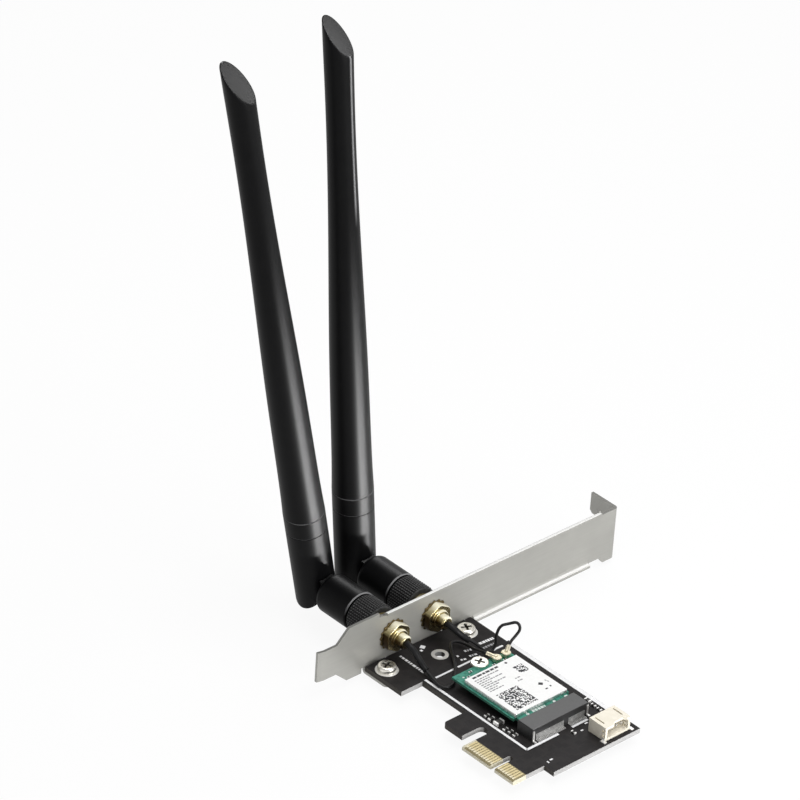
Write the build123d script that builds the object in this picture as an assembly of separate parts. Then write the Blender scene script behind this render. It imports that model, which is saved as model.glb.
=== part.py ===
from build123d import *
import os
from math import cos, radians, sin, tan

# Wireless network card with two whip antennas, in millimetres.
# The origin is the middle of the key notch on the contact edge, halfway through the board.
# X runs from the bracket into the computer, Y from the contact edge towards the bracket's
# bent tab, and Z out of the component side.

# Board
board_thickness = 1.6
board_back = 58.4
board_front = 12.5
ear_length = 15.7
ear_low = 4.0
ear_high = 45.8
body_low = 12.25
body_high = 46.45
tongue_back = 12.55
tongue_front = 8.55
key_width = 1.9
key_depth = 7.7
bevel_length = 0.6
bevel_depth = 0.3
hook_start = 16.2
hook_width = 8.0
hook_low = 3.4
hook_corner = 1.2
slot_end = 11.2

# Edge contacts, counted to each side of the key notch
contact_pitch = 1.0
contact_width = 0.7
contact_length = 4.1
contact_margin = 0.1
contact_thickness = 0.05
contacts_back = 11
contacts_front = 7

# Bracket
board_gap = 0.3
sheet = 0.86
face_low = -1.15
face_width = 18.42
bracket_start = -14.33
bracket_length = 120.2
strip_low = 2.75
strip_width = 10.19
strip_length = 7.0
strip_tip = 2.2
strip_bend = 12.0
shoulder = 4.4
flange_depth = 1.4
flange_bend = 1.2
flange_top_start = 10.8
flange_low_start = 47.0
flange_top_end = 97.4
flange_low_end = 94.2
flange_notch = 2.0
flange_notch_depth = 1.3
neck_step = 0.8
neck_low = -0.45
flare_start = 99.1
flare_end = 100.9
tab_low = -2.6
tab_width = 18.0
tab_reach = 10.1
tab_bend = 0.4
tab_slot_mid = 6.2
tab_slot_width = 4.4
tab_slot_depth = 7.2
tab_slot_mouth = 1.0

# Lugs that carry the board, and their screws
screw_inset = 4.9
screw_rows = (8.0, 39.4)
screw_hole = 3.2
screw_shank = 2.8
screw_head = 5.6
screw_head_height = 1.9
screw_length = 4.6
pad_ring = 7.0
pad_thickness = 0.05
lug_width = 8.0
lug_beyond_screw = 4.4
relief_width = 1.2
relief_top = 0.6
spare_inset = 8.7
spare_row = 25.5
spare_hole = 3.0
spare_ring = 5.2

# Radio module, its standoff, screw, shield and label
module_back = 35.9
module_mid = 28.25
module_length = 30.0
module_width = 22.0
module_thickness = 0.8
module_lift = 2.5
module_notch = 3.5
module_tongue_width = 19.8
module_tongue_length = 4.0
standoff_width = 4.4
module_screw_head = 5.4
module_screw_height = 0.9
module_screw_shank = 2.0
module_screw_length = 3.0
shield_inset = 4.35
shield_length = 21.7
shield_width = 20.6
shield_height = 1.2
shield_round = 0.4
label_thickness = 0.1
label_margin = 0.1
module_chip = (1.0, 0.6, 0.45)
module_chip_places = ((3.2, 2.6), (3.3, 6.9), (1.6, -5.2), (3.2, -7.4))

# Aerial receptacles on the module and the plugs on them: distance from the module's
# back edge, distance from its middle line, and the direction of the cable
receptacles = {"left": (1.9, 4.95, 195.0), "right": (1.8, 8.75, 125.0)}
receptacle_width = 2.2
receptacle_base = 0.35
receptacle_post = 1.5
receptacle_height = 0.7
plug_width = 2.9
plug_height = 1.15
plug_play = 0.05
barrel_width = 1.4
barrel_length = 3.4

# Edge socket of the module
socket_depth = 7.65
socket_height = 4.2
socket_bite = 2.3
socket_step = 1.3
socket_play = 0.1
socket_chamfer = 0.3
lead_pitch = 0.5
lead_width = 0.28
lead_thickness = 0.15
lead_margin = 1.55
lead_gap = 2.3
leads_first = 22
leads_second = 13
anchor_width = 0.6
anchor_height = 3.4
anchor_thickness = 0.3

# Header for the second cable
header_low = 33.8
header_width = 9.9
header_depth = 6.8
header_height = 4.6
header_setback = 1.6
header_wall = 0.8
header_slot = 0.5
header_slot_inset = 1.1
header_slot_length = 3.9
latch_start = 3.4
latch_width = 5.2
latch_depth = 1.0
latch_slant = 0.8
window_width = 1.0
window_inset = 0.5
window_bar = 0.6
pin_count = 4
pin_pitch = 2.0
pin_width = 0.6
pin_recess = 1.5
pin_foot = 1.2
foot_width = 1.8
foot_reach = 1.0
foot_thickness = 0.25

# Small parts on the board: place, length along X, width along Y, height
small_parts = ((-18.8, 15.4, 0.85, 1.6, 0.55), (-16.8, 15.3, 1.0, 2.0, 0.7), (-14.0, 15.6, 1.8, 2.8, 1.1),
               (-10.7, 15.1, 0.85, 1.6, 0.55), (-8.9, 15.5, 0.85, 1.6, 0.55), (-6.9, 15.4, 0.85, 1.6, 0.55),
               (-6.3, 43.7, 2.0, 1.2, 0.7), (-3.6, 43.4, 1.6, 0.85, 0.55), (-1.1, 43.3, 1.6, 0.85, 0.55),
               (2.4, 29.6, 1.6, 0.85, 0.55))

# Aerial jacks
jack_rows = {"left": 14.33, "right": 30.43}
jack_height = 8.0
thread_width = 6.3
thread_depth = 0.35
thread_pitch = 0.7
thread_runout = 0.2
nose_chamfer = 0.3
nose_length = 10.0
hole_play = 0.1
washer_width = 10.2
washer_thickness = 0.5
washer_teeth = 16
washer_tooth = 0.6
flange_flats = 8.4
flange_thickness = 2.4
ring_width = 5.8
ring_length = 0.8
nut_flats = 8.0
nut_thickness = 2.2
insulator_width = 4.1
insulator_length = 9.0
insulator_floor = 1.0
socket_bore = 2.6
jack_pin_width = 0.9
jack_pin_recess = 0.8
ferrule_width = 4.4
ferrule_length = 2.5

# Cables: centre points between the ferrule's straight start and the plug's straight end
sleeve_width = 2.0
cable_width = 0.9
cable_start = 2.3
cable_end = 2.3
routes = {
    "left": ((-46.6, 15.3, 3.4), (-42.6, 15.2, 1.5), (-36.4, 13.4, 1.5), (-34.9, 17.2, 1.5),
             (-38.6, 21.3, 1.6), (-43.0, 25.2, 1.9), (-47.6, 28.0, 2.1), (-51.2, 30.8, 2.1),
             (-49.9, 33.5, 2.0), (-45.3, 34.1, 2.0), (-42.4, 33.2, 3.2)),
    "right": ((-47.6, 32.6, 5.0), (-44.4, 34.7, 3.9), (-41.3, 35.7, 1.7), (-41.2, 38.6, 1.6),
              (-41.0, 41.9, 1.9), (-40.7, 42.0, 4.2), (-41.7, 40.4, 6.6), (-41.0, 41.0, 9.2),
              (-40.0, 43.0, 10.6), (-38.2, 45.2, 10.7), (-37.4, 45.3, 8.9), (-37.4, 43.6, 6.4)),
}

# Antennas
lean = {"left": 12.2, "right": 5.9}
collar_start = 4.85
collar_length = 8.2
collar_width = 12.3
collar_ribs = 48
rib_depth = 0.3
collar_chamfer = 0.5
insert_start = 0.55
insert_length = 4.8
insert_width = 9.2
thread_play = 0.1
mouth_width = 8.0
chamber_length = 1.7
chamber_width = 8.6
lip_width = 6.4
turn_play = 0.3
neck_width = 5.8
neck_flange_width = 7.8
elbow_width = 12.4
elbow_length = 13.55
elbow_chamfer = 0.35
elbow_round = 2.0
contact_tube = 1.9
contact_bore = 1.1
contact_reach = 3.0
pin_beyond_elbow = 6.65
hinge_thickness = 4.6
hinge_radius = 4.6
hinge_pin_width = 2.4
hinge_pin_length = 10.4
hinge_play = 0.07
cheek_play = 0.2
ceiling_play = 0.4
base_width = 12.5
base_length = 21.5
spigot_width = 9.2
spigot_length = 8.5
groove_height = 6.2
groove_width = 0.4
groove_depth = 0.3
whip_low_height = 62.0
whip_low_width = 11.4
whip_mid_height = 97.0
whip_mid_width = 10.2
whip_high_height = 131.0
whip_high_width = 8.6
whip_thin_height = 160.0
whip_thin_width = 8.2
whip_tip_width = 9.0
whip_wall = 1.2
radiator_width = 4.0
radiator_length = 138.0
radiator_room = 8.0
tip_wall = 7.7
tip_slope = 1.37
tip_direction = 208.0
tip_round = 0.5

# Places that follow from the sizes above
board_top = board_thickness / 2
ear_end = ear_length - board_back
inner = -(board_back + board_gap)
outer = inner - sheet
face_high = face_low + face_width
bracket_end = bracket_start + bracket_length
tab_high = tab_low + tab_width
screw_x = screw_inset - board_back
module_low = board_top + module_lift
module_top = module_low + module_thickness
module_front = module_length - module_back
socket_start = module_front - socket_bite
socket_front = socket_start + socket_depth
lead_second = (leads_first - 1) * lead_pitch + lead_gap
socket_width = 2 * lead_margin + lead_second + (leads_second - 1) * lead_pitch
socket_low = module_mid - socket_width / 2
header_front = board_front - header_setback
header_back = header_front - header_depth
header_high = header_low + header_width
flange_inner = inner + washer_thickness + flange_thickness
ring_end = flange_inner + ring_length
ferrule_end = ring_end + ferrule_length
nose_end = outer - nose_length
collar_near = outer - collar_start
collar_far = collar_near - collar_length
insert_near = collar_near - insert_start
insert_far = insert_near - insert_length
chamber_far = insert_far - chamber_length
neck_front = insert_far - turn_play
elbow_front = collar_far - turn_play
elbow_back = elbow_front - elbow_length
hinge_x = elbow_back - pin_beyond_elbow
radiator_low = base_length + spigot_length
whip_hollow = radiator_low + radiator_length + radiator_room
tip_height = whip_hollow + tip_wall
whip_top = tip_height + tip_slope * whip_tip_width


def block(x0, x1, y0, y1, z0, z1):
    """Box between two opposite corners."""
    middle = Pos((x0 + x1) / 2, (y0 + y1) / 2, (z0 + z1) / 2)
    return middle * Box(x1 - x0, y1 - y0, z1 - z0)


def post(x, y, width, z0, z1):
    """Upright round bar."""
    return Pos(x, y, (z0 + z1) / 2) * Cylinder(width / 2, z1 - z0)


def rod_x(width, x0, x1):
    """Round bar on the X axis."""
    return Pos((x0 + x1) / 2, 0, 0) * Rot(0, 90, 0) * Cylinder(width / 2, x1 - x0)


def rod_y(x, z, radius, y0, y1):
    """Round bar along Y."""
    return Pos(x, (y0 + y1) / 2, z) * Rot(90, 0, 0) * Cylinder(radius, y1 - y0)


def turned_x(points):
    """Solid turned about X from a closed outline of (x, radius) points."""
    return revolve(make_face(Polyline(*points, close=True)), Axis.X)


def hex_bar(flats, x0, x1):
    """Six-sided bar on the X axis with a corner at the top."""
    outline = RegularPolygon(flats / 2, 6, major_radius=False)
    return extrude(Plane.YZ.offset(x0) * Rot(0, 0, 90) * outline, x1 - x0)


def star(outside, depth, count, x0, x1):
    """Bar on the X axis with pointed ribs all round."""
    points = []
    for i in range(2 * count):
        reach = outside / 2 - (depth if i % 2 else 0)
        angle = 180 / count * i
        points.append((reach * cos(radians(angle)), reach * sin(radians(angle))))
    outline = make_face(Polyline(*points, close=True))
    return extrude(Plane.YZ.offset(x0) * outline, x1 - x0)


def corner_bend(x, z, toward_x, toward_z, radius, y0, y1):
    """Quarter of a bent sheet along Y, on the given side of its centre line."""
    ring = rod_y(x, z, radius + sheet, y0, y1) - rod_y(x, z, radius, y0, y1)
    reach = radius + 2 * sheet
    across = sorted((x, x + toward_x * reach))
    upright = sorted((z, z + toward_z * reach))
    return ring & block(*across, y0, y1, *upright)


def cord(points, width):
    """Round cord along straight runs joined by tangent arcs."""
    corners = [Vector(*point) for point in points]
    radii = []
    for before, corner, after in zip(corners, corners[1:], corners[2:]):
        turn = (corner - before).get_angle(after - corner)
        run = min((corner - before).length, (after - corner).length)
        radii.append(0.45 * run / tan(radians(turn / 2)))
    path = FilletPolyline(*corners, radius=radii)
    start = Plane(origin=corners[0], z_dir=corners[1] - corners[0])
    solid = sweep(start * Circle(width / 2), path=path)
    section = width * width * 3.14159 / 4
    print(f"cord {path.length:.1f} long, radii", " ".join(f"{r:.1f}" for r in radii),
          f"volume share {solid.volume / section / path.length:.4f}")
    return solid


def group(shapes):
    """Several separate solids as one piece."""
    return Compound([solid for shape in shapes for solid in shape.solids()])


def pan_screw(head, height, shank, length):
    """Screw with a domed head and a cross recess, its seat at height zero."""
    dome = fillet(post(0, 0, head, 0, height).edges().sort_by(Axis.Z)[-1], 0.45 * height)
    arm = 0.3 * head
    recess = block(-arm, arm, -arm / 4, arm / 4, 0.5 * height, height)
    recess += block(-arm / 4, arm / 4, -arm, arm, 0.5 * height, height)
    stem = post(0, 0, shank, -length, 0)
    stem = chamfer(stem.edges().sort_by(Axis.Z)[0], 0.15 * shank)
    return dome - recess + stem


def main_board():
    """Circuit board with its ear, hook, keyed contact tongue and holes."""
    low, high = -board_top, board_top
    plate = block(-board_back, ear_end, ear_low, ear_high, low, high)
    plate += block(ear_end, board_front, body_low, body_high, low, high)
    hook_end = -hook_start - hook_width
    hook = block(hook_end, -hook_start, hook_low, body_low, low, high)
    corner = hook.edges().filter_by(Axis.Z).group_by(Axis.X)[0].sort_by(Axis.Y)[0]
    plate += fillet(corner, hook_corner)
    plate += block(-tongue_back, tongue_front, 0, body_low, low, high)
    slot_width = hook_start - tongue_back
    slot_x = -(hook_start + tongue_back) / 2
    slot_y = slot_end - slot_width / 2
    bridge = block(-hook_start, -tongue_back, slot_y, body_low, low, high)
    plate += bridge - post(slot_x, slot_y, slot_width, low, high)
    key_y = key_depth - key_width / 2
    plate -= block(-key_width / 2, key_width / 2, 0, key_y, low, high)
    plate -= post(0, key_y, key_width, low, high)
    bevel = make_face(Polyline((0, high), (bevel_length, high), (0, high - bevel_depth), close=True))
    wedge = extrude(Plane.YZ.offset(-tongue_back) * bevel, tongue_back + tongue_front)
    plate -= wedge
    plate -= mirror(wedge, Plane.XY)
    for y in screw_rows:
        plate -= post(screw_x, y, screw_hole, low, high)
    plate -= post(spare_inset - board_back, spare_row, spare_hole, low, high)
    return plate


def ring_pad(x, y, width, hole):
    """Thin solder ring round a hole."""
    z1 = board_top + pad_thickness
    return post(x, y, width, board_top, z1) - post(x, y, hole, board_top, z1)


def mounting_pads():
    """Solder rings round the two screw holes and the spare hole."""
    rings = [ring_pad(screw_x, y, pad_ring, screw_hole) for y in screw_rows]
    rings.append(ring_pad(spare_inset - board_back, spare_row, spare_ring, spare_hole))
    return group(rings)


def edge_contacts():
    """Gold fingers on both faces of the contact tongue."""
    first = 1.5 * contact_pitch
    places = [-first - i * contact_pitch for i in range(contacts_back)]
    places += [first + i * contact_pitch for i in range(contacts_front)]
    y0 = bevel_length + contact_margin
    fingers = []
    for x in places:
        for z in (board_top, -board_top - contact_thickness):
            half = contact_width / 2
            fingers.append(block(x - half, x + half, y0, y0 + contact_length, z, z + contact_thickness))
    return group(fingers)


def bracket():
    """Folded sheet bracket with its flanges, lugs, jack holes and slotted tab."""
    strip_high = strip_low + strip_width
    strip_end = bracket_start + strip_length
    body_start = strip_end + shoulder
    neck_low_start = flange_low_end + neck_step
    neck_top_start = flange_top_end + neck_step
    bend_start = bracket_end - sheet - tab_bend
    outline = Polyline(
        (bracket_start + strip_tip, strip_low), (strip_end, strip_low), (body_start, face_low),
        (neck_low_start, face_low), (neck_low_start, neck_low), (flare_start, neck_low),
        (flare_end, tab_low), (bend_start, tab_low), (bend_start, tab_high),
        (neck_top_start, tab_high), (neck_top_start, face_high), (body_start, face_high),
        (strip_end, strip_high), (bracket_start + strip_tip, strip_high), close=True)
    plate = extrude(Plane.YZ.offset(outer) * make_face(outline), sheet)

    # The strip's end is bent a little outwards.
    shift = strip_tip * tan(radians(strip_bend))
    tip = Polyline((inner, bracket_start + strip_tip), (inner - shift, bracket_start),
                   (outer - shift, bracket_start), (outer, bracket_start + strip_tip), close=True)
    plate += extrude(Plane.XY.offset(strip_low) * make_face(tip), strip_width)

    # Long flanges bent inwards along both edges.
    bend = flange_bend + sheet
    for start, end, edge, way in ((flange_top_start, flange_top_end, face_high, 1),
                                  (flange_low_start, flange_low_end, face_low, -1)):
        root = edge - way * bend
        plate -= block(outer, inner, start, end, *sorted((root, edge)))
        centre = inner + flange_bend
        plate += corner_bend(centre, root, -1, way, flange_bend, start, end)
        lip = sorted((edge - way * sheet, edge))
        plate += block(centre, inner + flange_depth, start, end, *lip)
    notch_low = face_high - flange_notch_depth
    plate -= block(outer, inner, flange_top_start - flange_notch, flange_top_start, notch_low, face_high)

    # Lugs bent inwards under the board, with a relief notch on both sides of each.
    lug_top = -board_top
    lug_root = lug_top + board_gap
    lug_end = screw_x + lug_beyond_screw
    for y in screw_rows:
        y0, y1 = y - lug_width / 2, y + lug_width / 2
        plate -= block(outer, inner, y0 - relief_width, y1 + relief_width, face_low, relief_top)
        plate += block(outer, inner, y0, y1, lug_root, relief_top)
        plate += corner_bend(inner + board_gap, lug_root, -1, -1, board_gap, y0, y1)
        lug = block(inner + board_gap, lug_end, y0, y1, lug_top - sheet, lug_top)
        ends = lug.edges().filter_by(Axis.Z).group_by(Axis.X)[-1]
        lug = fillet(ends, 0.2 * lug_width)
        plate += lug - post(screw_x, y, screw_shank, lug_top - sheet, lug_top)

    # Tab bent outwards, with the slot for the case screw.
    tab_inside = bracket_end - sheet
    centre_x, centre_y = outer - tab_bend, tab_inside - tab_bend
    ring = post(centre_x, centre_y, 2 * (tab_bend + sheet), tab_low, tab_high)
    ring -= post(centre_x, centre_y, 2 * tab_bend, tab_low, tab_high)
    plate += ring & block(centre_x, inner, centre_y, bracket_end, tab_low, tab_high)
    tab_end = outer - tab_reach
    plate += block(tab_end, centre_x, tab_inside, bracket_end, tab_low, tab_high)
    half = tab_slot_width / 2
    round_x = tab_end + tab_slot_depth - half
    slot = block(tab_end, round_x, tab_inside, bracket_end, tab_slot_mid - half, tab_slot_mid + half)
    slot += rod_y(round_x, tab_slot_mid, half, tab_inside, bracket_end)
    wide = half + tab_slot_mouth
    mouth = Polyline((tab_slot_mid - wide, tab_end), (tab_slot_mid + wide, tab_end),
                     (tab_slot_mid + half, tab_end + tab_slot_mouth),
                     (tab_slot_mid - half, tab_end + tab_slot_mouth), close=True)
    flat = Plane(origin=(0, tab_inside, 0), x_dir=(0, 0, 1), z_dir=(0, 1, 0))
    slot += extrude(flat * make_face(mouth), sheet)
    plate -= slot

    for y in jack_rows.values():
        plate -= Pos(0, y, jack_height) * rod_x(thread_width + 2 * hole_play, outer, inner)
    return plate


def bracket_screws():
    """Two screws that hold the board to the bracket's lugs."""
    seat = board_top + pad_thickness
    screw = pan_screw(screw_head, screw_head_height, screw_shank, screw_length)
    turns = zip(screw_rows, (20, 65))
    return group([Pos(screw_x, y, seat) * Rot(0, 0, turn) * screw for y, turn in turns])


def module_standoff():
    """Threaded stand under the module's back edge."""
    stand = post(-module_back, module_mid, standoff_width, board_top, module_low)
    return stand - post(-module_back, module_mid, module_screw_shank, board_top, module_low)


def module_screw():
    """Low-headed screw that holds the module down."""
    screw = pan_screw(module_screw_head, module_screw_height, module_screw_shank, module_screw_length)
    return Pos(-module_back, module_mid, module_top) * Rot(0, 0, 30) * screw


def module_board():
    """Radio module board with its screw notch and narrower edge tongue."""
    y0, y1 = module_mid - module_width / 2, module_mid + module_width / 2
    plate = block(-module_back, module_front, y0, y1, module_low, module_top)
    shoulder_x = module_front - module_tongue_length
    rest = (module_width - module_tongue_width) / 2
    plate -= block(shoulder_x, module_front, y0, y0 + rest, module_low, module_top)
    plate -= block(shoulder_x, module_front, y1 - rest, y1, module_low, module_top)
    return plate - post(-module_back, module_mid, module_notch, module_low, module_top)


def module_shield():
    """Metal can over the module's circuits."""
    x0 = shield_inset - module_back
    half = shield_width / 2
    can = block(x0, x0 + shield_length, module_mid - half, module_mid + half,
                module_top, module_top + shield_height)
    return fillet(can.edges().filter_by(Axis.Z), shield_round)


def module_label():
    """Paper label on the can."""
    x0 = shield_inset - module_back + label_margin
    half = shield_width / 2 - label_margin
    z0 = module_top + shield_height
    return block(x0, x0 + shield_length - 2 * label_margin, module_mid - half, module_mid + half,
                 z0, z0 + label_thickness)


def module_chips():
    """Small parts on the bare strip of the module."""
    long, wide, tall = module_chip
    places = [(-module_back + x, module_mid + y) for x, y in module_chip_places]
    return group([block(x - wide / 2, x + wide / 2, y - long / 2, y + long / 2,
                        module_top, module_top + tall) for x, y in places])


def receptacle_place(side):
    """Centre of one aerial receptacle and the direction its cable leaves in."""
    inset, across, turn = receptacles[side]
    away = Vector(cos(radians(turn)), sin(radians(turn)), 0)
    return Vector(inset - module_back, module_mid + across, module_top), away


def module_receptacles():
    """Two coaxial receptacles for the pigtail plugs."""
    pieces = []
    for side in receptacles:
        centre = receptacle_place(side)[0]
        half = receptacle_width / 2
        base = block(-half, half, -half, half, 0, receptacle_base)
        base += post(0, 0, receptacle_post, receptacle_base, receptacle_height)
        pieces.append(Pos(centre) * base)
    return group(pieces)


def barrel_axis(side):
    """Points on the middle line of a plug's barrel: its receptacle and its open end."""
    centre, away = receptacle_place(side)
    middle = centre + Vector(0, 0, receptacle_base + plug_play + barrel_width / 2)
    return middle, middle + away * barrel_length


def pigtail_plug(side):
    """Right-angle plug with a crimped barrel."""
    centre, away = receptacle_place(side)
    low = receptacle_base
    cap = post(0, 0, plug_width, low, low + plug_height)
    cap = Pos(centre) * chamfer(cap.edges().sort_by(Axis.Z)[-1], 0.15 * plug_height)
    middle = barrel_axis(side)[0]
    barrel = Plane(origin=middle, z_dir=away) * Pos(0, 0, barrel_length / 2)
    plug = cap + barrel * Cylinder(barrel_width / 2, barrel_length)
    well = post(0, 0, receptacle_post + 2 * plug_play, low, receptacle_height + plug_play)
    return plug - Pos(centre) * well


def socket_housing():
    """Edge socket that takes the module's tongue."""
    y0, y1 = socket_low, socket_low + socket_width
    top = board_top + socket_height
    body = block(socket_start, socket_front - socket_step, y0, y1, board_top, top)
    long_edge = body.edges().filter_by(Axis.Y).group_by(Axis.Z)[-1].sort_by(Axis.X)[0]
    body = chamfer(long_edge, socket_chamfer)
    half = module_tongue_width / 2 + socket_play
    mouth = block(socket_start, module_front + socket_play, module_mid - half, module_mid + half,
                  module_low - socket_play, module_top + socket_play)
    return body - mouth


def socket_contacts():
    """Two rows of bent leads at the foot of the socket."""
    back = socket_front - socket_step
    rise = board_top + 0.5 * socket_height
    first = socket_low + lead_margin
    places = [first + i * lead_pitch for i in range(leads_first)]
    places += [first + lead_second + i * lead_pitch for i in range(leads_second)]
    leads = []
    for y in places:
        y0, y1 = y - lead_width / 2, y + lead_width / 2
        lead = block(back, socket_front, y0, y1, board_top, board_top + lead_thickness)
        leads.append(lead + block(back, back + lead_thickness, y0, y1, board_top, rise))
    return group(leads)


def socket_anchors():
    """Solder anchors at both ends of the socket."""
    back = socket_front - socket_step
    ends = (socket_low, socket_low + socket_width - anchor_width)
    anchors = []
    for y in ends:
        hook = block(back, back + anchor_thickness, y, y + anchor_width, board_top, board_top + anchor_height)
        hook += block(back, socket_front, y, y + anchor_width, board_top, board_top + anchor_thickness)
        anchors.append(hook)
    return group(anchors)


def header_pins():
    """Four square pins with bent tails."""
    middle = (header_low + header_high) / 2
    level = board_top + header_height / 2
    half = pin_width / 2
    pins = []
    for i in range(pin_count):
        y = middle + (i - (pin_count - 1) / 2) * pin_pitch
        y0, y1 = y - half, y + half
        pin = block(header_back - pin_width, header_front - pin_recess, y0, y1, level - half, level + half)
        pin += block(header_back - pin_width, header_back, y0, y1, board_top, level + half)
        pin += block(header_back - pin_foot, header_back, y0, y1, board_top, board_top + half)
        pins.append(pin)
    return group(pins)


def header_housing():
    """Housing round the pins, open to the front."""
    top = board_top + header_height
    shell = block(header_back, header_front, header_low, header_high, board_top, top)
    level = board_top + header_height / 2
    inside = (header_width - 2 * header_wall) / 2
    tall = (header_height - 2 * header_wall) / 2
    cavity = RectangleRounded(2 * inside, 2 * tall, 0.25 * tall)
    middle = (header_low + header_high) / 2
    face = Plane(origin=(header_back + header_wall, middle, level), x_dir=(0, 1, 0), z_dir=(1, 0, 0))
    shell -= extrude(face * cavity, header_depth - header_wall)
    for y in (header_low + header_slot_inset, header_high - header_slot_inset - header_slot):
        shell -= block(header_back + header_wall, header_back + header_wall + header_slot_length,
                       y, y + header_slot, top - header_wall, top)
    x0 = header_front - window_inset - window_width
    for z in (level - window_width - window_bar / 2, level + window_bar / 2):
        shell -= block(x0, x0 + window_width, header_low, header_high, z, z + window_width)
    y0, y1 = header_low + latch_start, header_low + latch_start + latch_width
    latch = Polyline((header_front, y0), (header_front, y1), (header_front - latch_depth, y1 - latch_slant),
                     (header_front - latch_depth, y0 + latch_slant), close=True)
    shell -= extrude(Plane.XY.offset(top - header_wall) * make_face(latch), header_wall)
    return shell - header_pins()


def header_feet():
    """Solder feet at the front corners of the header."""
    feet = []
    x0, x1 = header_front - foot_width / 2, header_front + foot_width / 2
    for edge, way in ((header_low, -1), (header_high, 1)):
        foot = block(x0, x1, *sorted((edge, edge + way * foot_reach)), board_top, board_top + foot_thickness)
        foot += block(x0, header_front, *sorted((edge, edge + way * foot_thickness)), board_top,
                      board_top + foot_reach)
        feet.append(foot)
    return group(feet)


def board_chips():
    """Loose small parts along the board."""
    return group([block(x - long / 2, x + long / 2, y - wide / 2, y + wide / 2, board_top, board_top + tall)
                  for x, y, long, wide, tall in small_parts])


def thread_profile(radius, x0, x1):
    """Outline points of a row of ring grooves from x0 down to x1."""
    count = int((x0 - x1) / thread_pitch)
    points = []
    for i in range(count):
        x = x0 - i * thread_pitch
        points += [(x, radius), (x - thread_pitch / 2, radius - thread_depth)]
    return points + [(x0 - count * thread_pitch, radius), (x1, radius)]


def jack_body():
    """Threaded jack with its hexagon, bored for the insulator."""
    radius = thread_width / 2
    profile = [(inner + washer_thickness, 0), (inner + washer_thickness, radius)]
    profile += thread_profile(radius, outer - thread_runout, nose_end + nose_chamfer)
    profile += [(nose_end, radius - nose_chamfer), (nose_end, 0)]
    body = turned_x(profile)
    hexagon = hex_bar(flange_flats, inner + washer_thickness, flange_inner)
    body += hexagon & turned_x([(inner, 0), (inner, 0.56 * flange_flats), (flange_inner, 0.54 * flange_flats),
                                (flange_inner, 0)])
    body += rod_x(ring_width, flange_inner, ring_end)
    return body - rod_x(insulator_width, nose_end, nose_end + insulator_length)


def jack_washer():
    """Toothed lock washer against the bracket's inner face."""
    ring = star(washer_width, washer_tooth, washer_teeth, inner, inner + washer_thickness)
    return ring - rod_x(thread_width + 2 * hole_play, inner, inner + washer_thickness)


def jack_nut():
    """Nut on the outside of the bracket."""
    nut = hex_bar(nut_flats, outer - nut_thickness, outer)
    nut = nut & turned_x([(outer, 0), (outer, 0.56 * nut_flats), (outer - nut_thickness, 0.54 * nut_flats),
                          (outer - nut_thickness, 0)])
    return nut - rod_x(thread_width, outer - nut_thickness, outer)


def jack_insulator():
    """White plastic core of the jack."""
    far = nose_end + insulator_length
    core = rod_x(insulator_width, nose_end, far)
    core -= rod_x(socket_bore, nose_end, far - insulator_floor)
    return core - rod_x(jack_pin_width, far - insulator_floor, far)


def jack_pin():
    """Middle pin of the jack."""
    return rod_x(jack_pin_width, nose_end + jack_pin_recess, nose_end + insulator_length)


def ferrule():
    """Crimped tube at the back of the jack."""
    tube = rod_x(ferrule_width, ring_end, ferrule_end)
    return chamfer(tube.edges().filter_by(GeomType.CIRCLE).sort_by(Axis.X)[-1], 0.1 * ferrule_width)


def cable_points(side):
    """Whole middle line of one pigtail, from the ferrule to the plug."""
    start = Vector(ferrule_end, jack_rows[side], jack_height)
    middle, end = barrel_axis(side)
    away = (end - middle).normalized()
    between = [Vector(*point) for point in routes[side]]
    return [start, start + Vector(cable_start, 0, 0)] + between + [end + away * cable_end, end]


def pigtail_sleeve(side):
    """Shrunk sleeve over the start of a pigtail."""
    points = cable_points(side)
    return cord(points[:3] + [(points[2] + points[3]) / 2], sleeve_width)


def pigtail(side):
    """Thin coaxial cable from the sleeve to the plug."""
    points = cable_points(side)
    return cord([(points[2] + points[3]) / 2] + points[3:], cable_width)


def antenna_collar():
    """Ribbed collar that screws onto the jack."""
    body = star(collar_width, rib_depth, collar_ribs, collar_far, collar_near)
    edge = collar_width / 2 - collar_chamfer
    body &= turned_x([(collar_near, 0), (collar_near, edge), (collar_near - collar_chamfer, collar_width / 2),
                      (collar_far + collar_chamfer, collar_width / 2), (collar_far, edge), (collar_far, 0)])
    body -= rod_x(mouth_width, insert_near, collar_near)
    body -= rod_x(insert_width, insert_far, insert_near)
    body -= rod_x(chamber_width, chamber_far, insert_far)
    return body - rod_x(lip_width, collar_far, chamber_far)


def collar_insert():
    """Threaded metal insert inside the collar."""
    ring = rod_x(insert_width, insert_far, insert_near)
    return ring - rod_x(thread_width + 2 * thread_play, insert_far, insert_near)


def elbow():
    """Swivelling elbow: neck and flange held in the collar, barrel and hinge tongue."""
    flange_back = chamber_far + turn_play
    barrel = rod_x(elbow_width, elbow_back, elbow_front)
    ends = barrel.edges().filter_by(GeomType.CIRCLE).sort_by(Axis.X)
    barrel = chamfer(ends[-1], elbow_chamfer)
    ends = barrel.edges().filter_by(GeomType.CIRCLE).sort_by(Axis.X)
    body = fillet(ends[0], elbow_round)
    body += rod_x(neck_width, elbow_front, neck_front)
    body += rod_x(neck_flange_width, flange_back, neck_front)
    half = hinge_thickness / 2
    body += block(hinge_x, elbow_back + elbow_round, -half, half, -hinge_radius, hinge_radius)
    body += rod_y(hinge_x, 0, hinge_radius, -half, half)
    return body - rod_y(hinge_x, 0, hinge_pin_width / 2 + hinge_play, -half, half)


def antenna_contact():
    """Middle contact that takes the jack's pin."""
    tube = rod_x(contact_tube, neck_front, neck_front + contact_reach)
    return tube - rod_x(contact_bore, neck_front, neck_front + contact_reach)


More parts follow.
